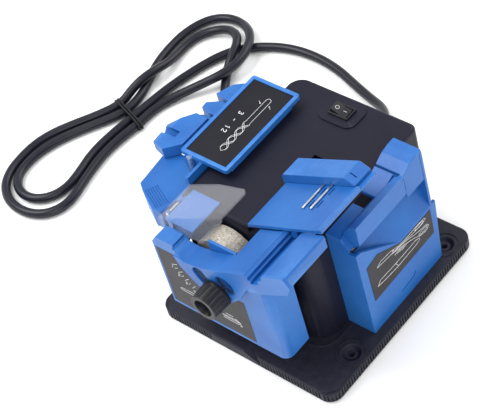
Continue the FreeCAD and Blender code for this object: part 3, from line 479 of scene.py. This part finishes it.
def drill_outline(length, width):
    """A twist drill: a plain shank, crossing flutes and a pointed tip."""
    half = width / 2
    shank = length * 0.44
    wide = half * 1.25
    neck = -shank - 3
    lines = [[(0, half), (-shank, half), (neck, wide)], [(0, -half), (-shank, -half), (neck, -wide)],
             circle(0, 0, half, -90, 90, 8)]
    flutes, steps = 3, 8
    pitch = (length + neck) / flutes
    for sign in (-1, 1):
        for lag in (0.0, 0.22):
            wave = []
            for i in range(steps * flutes + 1):
                turn = i / steps
                wave.append((neck - pitch * turn, sign * wide * math.cos(math.pi * (turn + lag))))
            lines.append(wave)
    tip = -length
    lines.append([(tip, wide), (tip - wide, 0), (tip, -wide)])
    return lines


DIGITS = {
    "1": [[(0.6, 3.2), (1.4, 4), (1.4, 0)]],
    "2": [[(0.2, 3.2), (0.8, 4), (1.9, 4), (2.4, 3.1), (2.1, 2.2), (0.2, 0), (2.5, 0)]],
    "3": [[(0.2, 3.5), (1, 4), (2, 3.8), (2.3, 3), (1.2, 2.2), (2.4, 1.4), (2.1, 0.3), (1.1, 0), (0.2, 0.5)]],
    "4": [[(1.9, 0), (1.9, 4), (0.1, 1.2), (2.6, 1.2)]],
    "-": [[(0.4, 1.9), (2.2, 1.9)]],
}


def digits(text, x, y, degrees, scale):
    """Generic numbers as pen strokes, starting at x, y and running in the given direction."""
    cos, sin = math.cos(math.radians(degrees)), math.sin(math.radians(degrees))
    lines = []
    for i, sign in enumerate(text):
        along = 3.9 * scale * i
        lines += moved(DIGITS.get(sign, []), x + along * cos, y + along * sin, degrees, scale)
    return lines


def station_print():
    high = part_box("station_label")[1]
    top = high[2] / MM + 0.05

    def place(p, q):
        return (p * MM, q * MM, top * MM)
    lines = moved(drill_outline(60, 5.0), -62, 52.5, 90)
    lines += [[(-69.5, 49.5), (-66.6, 47.4)], [(-54.6, 46), (-57.3, 47.6)]]
    lines += [circle(-67.0, 47.6, 0.5, 0, 360, 6), circle(-57.0, 47.8, 0.5, 0, 360, 6)]
    ink_lines("station_print", lines, place)
    ink_lines("station_numbers", digits("3 - 12", -76.6, 32.5, -90, 1.15), place, 0.36)


def front_print():
    """A tilt scale of ticks and numbers, a chisel's outline, and a plane iron's outline."""
    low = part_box("front_label")[0]
    face = low[1] / MM - 0.05
    scale_x, scale_z, step = 15, 132, 3.6

    def place(p, q):
        return (p * MM, face * MM, q * MM)
    lines = []
    for i in range(9):
        angle = math.radians(206.5 + step * i)
        inner = 64 if i % 2 == 0 else 67
        lines.append([(scale_x + r * math.cos(angle), scale_z + r * math.sin(angle)) for r in (inner, 71)])
    for i, text in enumerate("1234"):
        angle = math.radians(208.0 + 2 * step * i)
        lines += digits(text, scale_x + 74 * math.cos(angle), scale_z - 1 + 74 * math.sin(angle), -20, 0.8)
    chisel = [[(0, 3), (16, 3), (18, 1.5), (16, 0), (0, 0), (-3, 1.5), (0, 3)]]
    iron = [[(0, 4.2), (17, 4.2)], [(0, 2.6), (17, 2.6)], [(0, 0), (16, 0), (19, 2.2), (17, 4.2)],
            [(4, 7.5), (12, 7.5)], [(14, 6.4), (18.5, 2.0)], circle(18.8, -0.6, 0.9, 0, 360, 8)]
    ink_lines("front_print", lines + moved(chisel, -46, 68) + moved(iron, -4, 60), place)


def switch_marks():
    """The ring and bar that tell off from on, on the two slopes of the rocker."""
    low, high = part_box("switch_rocker")
    middle = 0.5 * (low[1] + high[1]) / MM
    proud, stroke = 0.08, 0.16

    def left_slope(p, q):
        return ((-9.6 + p) * MM, (middle + q) * MM, (134.87 - 0.359 * p + proud) * MM)

    def right_slope(p, q):
        return ((-1.8 + p) * MM, (middle + q) * MM, (133.16 - 0.064 * p + proud) * MM)
    ink_lines("off_mark", [circle(0, 0, 1.6)], left_slope, stroke, "rocker")
    ink_lines("on_mark", [[(-1.6, 0), (1.6, 0)]], right_slope, stroke, "rocker")


def scissor_outline():
    """Closed scissors lying on their side, with two finger loops."""
    upper = [(-10, 77.6), (-5, 80.6), (8, 79.2), (19, 75.4), (30, 74.7), (45, 74.6), (53, 74.0), (55, 72.2),
             (50, 70.6), (38, 71.4), (30, 73.0), (13, 75.0), (-10, 77.6)]
    lower = [(13, 74.8), (28, 72), (38, 68.5), (46, 66.5), (55, 65), (57.5, 61.8), (53, 59), (45, 60.5),
             (38, 65), (26, 69.8), (8, 75.5)]
    turns = [math.radians(24 * i) for i in range(16)]
    loops = [[(x + 6 * math.cos(a), z + 1.5 * math.sin(a)) for a in turns]
             for x, z in ((46, 72.5), (49.5, 62.8))]
    hatch = [[(12 + 3 * i, 70.5 - i), (19 + 3 * i, 71.5 - i)] for i in range(4)]
    return [upper, lower, circle(11, 77.2, 0.8, 0, 360, 10)] + loops + hatch


def knife_outline():
    return [[(-13.7, 58.1), (-9.5, 62), (10, 61), (25, 61), (39, 61.2), (43.6, 59.4), (43.2, 57), (38, 56.2),
             (24, 55.8), (14, 55.3), (-2, 56.5), (-13.7, 58.1)], [(11, 61), (13.7, 55.4)]]


def knife_box_label():
    """The printed sticker on the outer wall of the knife box, with its line drawings."""
    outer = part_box("knife_box")[1][0]
    outline = [(-21, 88), (-6.5, 91), (22, 76), (62.5, 75.5), (62, 47.5), (-20, 46)]
    points = [(outer + lift * MM, y * MM, z * MM) for lift in (-0.1, 0.35) for y, z in outline]
    count = len(outline)
    faces = [tuple(range(count, 2 * count)), tuple(reversed(range(count)))]
    faces += [(i, (i + 1) % count, count + (i + 1) % count, count + i) for i in range(count)]
    piece = mesh_piece("knife_box_label", points, faces, MATERIALS["grey_label"])

    def place(y, z):
        return (outer + 0.4 * MM, y * MM, z * MM)
    ink_lines("knife_box_print", scissor_outline() + knife_outline(), place)


# ---------------------------------------------------------------- stage

LIGHTS = [("key", (-0.9, -0.5, 1.6), 1.2, 26), ("fill", (1.3, -0.9, 1.1), 1.4, 14),
          ("back", (0.2, 1.6, 1.3), 1.4, 16)]


def studio():
    floor = bpy.data.meshes.new("floor")
    half = 6.0
    floor.from_pydata([(-half, -half, 0), (half, -half, 0), (half, half, 0), (-half, half, 0)], [],
                      [(0, 1, 2, 3)])
    material, shader = node_material("floor", 0.9)
    tint = ramp(material, noise(material, 2.0), (0.93, 0.93, 0.93), (0.96, 0.96, 0.96))
    material.node_tree.links.new(tint, shader.inputs["Base Color"])
    floor.materials.append(material)
    stage = bpy.data.objects.new("floor", floor)
    bpy.context.collection.objects.link(stage)
    world = bpy.data.worlds.new("studio")
    world.use_nodes = True
    world.node_tree.nodes["Background"].inputs["Color"].default_value = (1, 1, 1, 1)
    world.node_tree.nodes["Background"].inputs["Strength"].default_value = 0.85
    bpy.context.scene.world = world
    for name, place, size, power in LIGHTS:
        light = bpy.data.lights.new(name, "AREA")
        light.size = size
        light.energy = power
        lamp = bpy.data.objects.new(name, light)
        lamp.location = place
        aim = Vector((0, 0, 0.08)) - Vector(place)
        lamp.rotation_euler = aim.to_track_quat("-Z", "Y").to_euler()
        bpy.context.collection.objects.link(lamp)
    bpy.context.scene.view_settings.view_transform = "Standard"


add_camera()
mains_cord()
strain_relief()
dress_nodes()
station_print()
front_print()
knife_box_label()
switch_marks()
studio()
